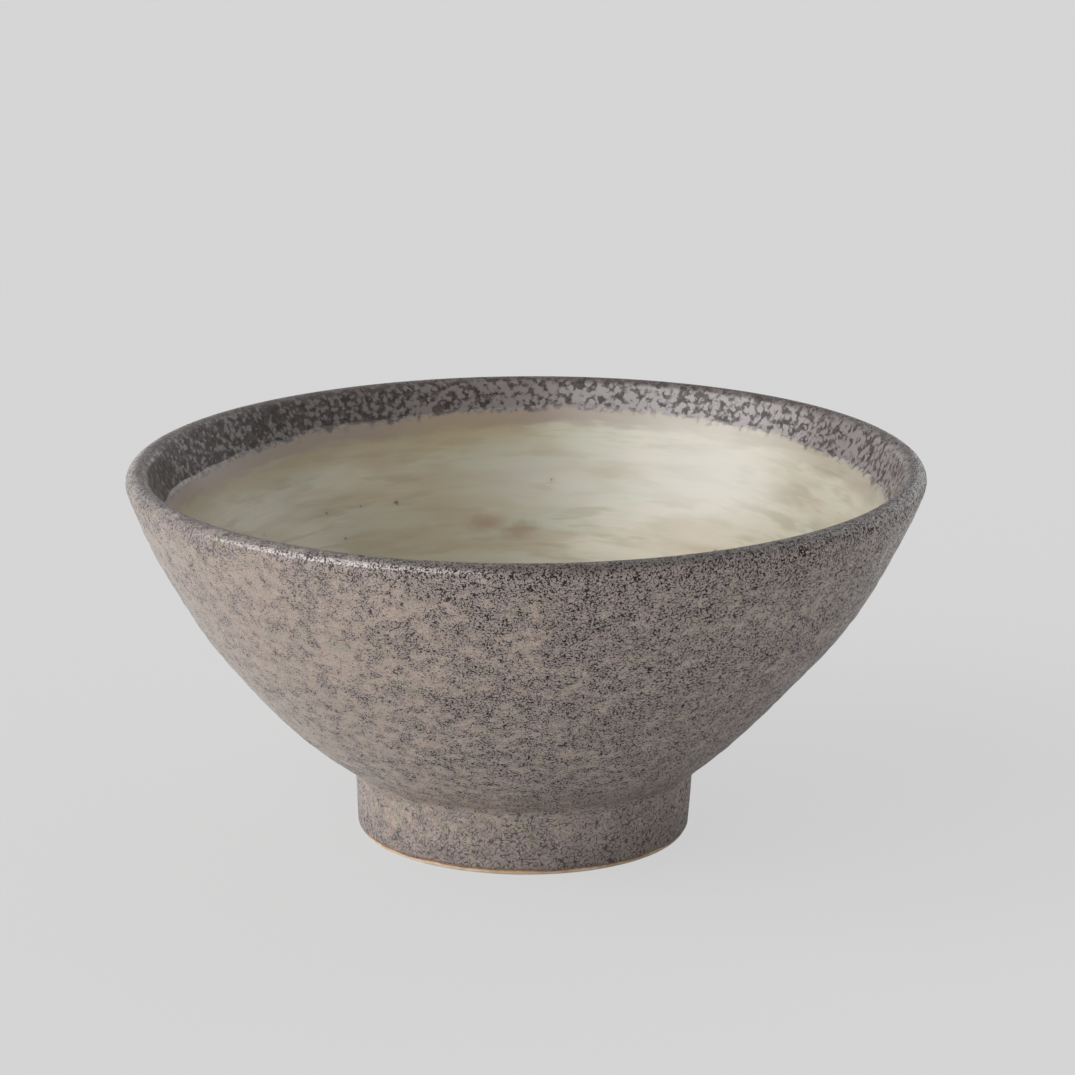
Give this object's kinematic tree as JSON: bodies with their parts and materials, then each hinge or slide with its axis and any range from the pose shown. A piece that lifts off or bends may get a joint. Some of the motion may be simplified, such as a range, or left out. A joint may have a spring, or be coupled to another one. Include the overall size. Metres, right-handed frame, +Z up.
{
  "type": "bowl",
  "caption": "Footed stoneware noodle bowl with a flaring curved wall, a rounded lip and an upright foot ring, speckled matt glaze outside and pale glossy glaze inside.",
  "frame": {"origin": "centre of the foot, on the surface that the bowl stands on", "axes": "+Z up along the bowl's turning axis; X and Y are free, because the solids are round, and the picture looks along +Y"},
  "size_m": [0.2, 0.2, 0.096],
  "materials": {
    "clay": "matte",
    "speckled_glaze": "matte",
    "rim_glaze": "satin",
    "overlap_glaze": "gloss",
    "pale_glaze": "gloss"
  },
  "bodies": {
    "root": {"bowl_body": "clay", "foot_ring": "clay", "wall_glaze": "speckled_glaze", "foot_glaze": "speckled_glaze", "rim_glaze": "rim_glaze", "overlap_glaze": "overlap_glaze", "inside_glaze": "pale_glaze", "well_glaze": "speckled_glaze"}
  },
  "joints": []
}
